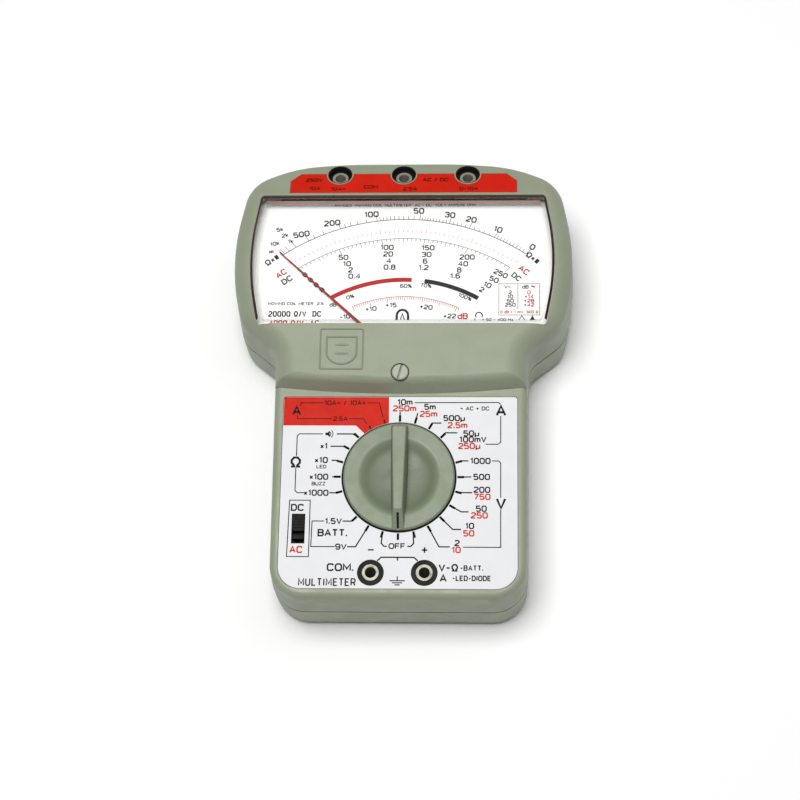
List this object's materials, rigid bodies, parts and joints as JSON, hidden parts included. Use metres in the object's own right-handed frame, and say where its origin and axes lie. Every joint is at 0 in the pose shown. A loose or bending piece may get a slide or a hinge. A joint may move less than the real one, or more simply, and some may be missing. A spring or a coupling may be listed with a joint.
{
  "type": "analog multimeter",
  "caption": "Hand-held moving-coil multimeter with a T-shaped case, wide dial window, rotary range selector, AC/DC slide switch and 4 mm test sockets.",
  "frame": {"origin": "middle of the case's length and width, on the surface that the rubber feet rest on", "axes": "+X right and +Y towards the meter head for someone reading the dial, +Z out of the front panel"},
  "size_m": [0.1276, 0.1704, 0.046],
  "materials": {
    "case_green": "moulded, fine matt texture",
    "knob_green": "moulded, fine matt texture",
    "zero_screw_green": "moulded, satin",
    "clear_window": "clear polished acrylic",
    "dial_white": "white printed plate",
    "label_white": "white printed overlay",
    "strip_red": "red printed overlay",
    "socket_black": "black moulded",
    "black_plastic": "black moulded",
    "nickel": "nickel plated",
    "brass": "bare brass",
    "bronze": "phosphor bronze strip",
    "copper": "enamelled copper winding",
    "steel": "zinc plated",
    "iron": "machined, dull",
    "pointer_red": "red lacquered aluminium",
    "board_green": "glass-epoxy with green resist",
    "resistor_body": "lacquered ceramic",
    "trimmer_blue": "moulded",
    "capacitor_sleeve": "shrink sleeve",
    "fuse_glass": "clear glass with plated caps",
    "cell_wrap": "plain dark wrapper",
    "foot_rubber": "matt rubber"
  },
  "bodies": {
    "case": {"front_case": "case_green", "rear_case": "case_green", "meter_window": "clear_window", "dial_plate": "dial_white", "panel_label": "label_white", "socket_label": "strip_red", "case_screws": "steel", "movement_screws": "steel", "socket_nuts": "nickel", "rubber_feet": "foot_rubber", "detent_balls": "steel", "detent_housings": "black_plastic", "detent_springs": "steel", "slide_switch_body": "black_plastic", "yoke_ring": "iron", "core_magnet": "iron", "core_bridges": "brass", "lower_hairspring": "bronze", "upper_bridge": "brass", "upper_jewel_screw": "brass", "lower_jewel_screw": "brass", "movement_base": "black_plastic", "circuit_board": "board_green", "resistors": "resistor_body", "trimmers": "trimmer_blue", "capacitor": "capacitor_sleeve", "fuse": "fuse_glass", "fuse_clips": "brass", "shunt_bar": "brass", "buzzer": "black_plastic", "ohm_potentiometer": "black_plastic", "cell_left": "cell_wrap", "cell_right": "cell_wrap", "battery_contacts": "nickel", "socket_insulator_1": "socket_black", "socket_contact_1": "nickel", "socket_insulator_2": "socket_black", "socket_contact_2": "nickel", "socket_insulator_3": "socket_black", "socket_contact_3": "nickel", "socket_insulator_4": "socket_black", "socket_contact_4": "nickel", "socket_insulator_5": "socket_black", "socket_contact_5": "nickel"},
    "range_knob": {"selector_knob": "knob_green", "range_rotor": "black_plastic", "rotor_screw": "steel", "wiper_contacts": "brass"},
    "slide": {"slide_button": "black_plastic", "slide_contact": "brass"},
    "coil": {"moving_coil": "copper", "coil_staff": "steel", "pointer": "pointer_red", "balance_weights": "brass"},
    "zero_screw": {"zero_adjust_screw": "zero_screw_green"},
    "zero_arm": {"zero_arm": "brass", "upper_hairspring": "bronze"},
    "ohm_wheel": {"ohm_thumbwheel": "black_plastic"},
    "door": {"battery_door": "case_green", "door_screw": "steel"}
  },
  "joints": [
    {"name": "selector_turn", "type": "hinge", "parent": "case", "child": "range_knob", "pos_m": [0, -0.04, 0.038], "axis": [0, 0, -1], "continuous": true},
    {"name": "ac_dc_slide", "type": "slide", "parent": "case", "child": "slide", "axis": [0, -1, 0], "range_m": [0, 0.0042]},
    {"name": "coil_turn", "type": "hinge", "parent": "case", "child": "coil", "pos_m": [0, 0.0043, 0.03], "axis": [0, 0, -1], "range_deg": [-1.5, 96], "stiffness_Nm_per_rad": 0.00002},
    {"name": "zero_screw_turn", "type": "hinge", "parent": "case", "child": "zero_screw", "pos_m": [0, -0.0023, 0.044], "axis": [0, 0, 1], "range_deg": [-60, 60]},
    {"name": "zero_arm_turn", "type": "hinge", "parent": "case", "child": "zero_arm", "pos_m": [0, 0.0043, 0.0385], "axis": [0, 0, 1], "range_deg": [-6.2, 6.2]},
    {"name": "ohm_adjust_turn", "type": "hinge", "parent": "case", "child": "ohm_wheel", "pos_m": [-0.0386, -0.03, 0.0215], "axis": [0, 0, 1], "range_deg": [-135, 135]},
    {"name": "battery_door_lift", "type": "slide", "parent": "case", "child": "door", "axis": [0, 0, -1], "range_m": [0, 0.03]}
  ],
  "couplings": [
    {"joint": "zero_arm_turn", "follows": "zero_screw_turn", "ratio": 0.098}
  ]
}
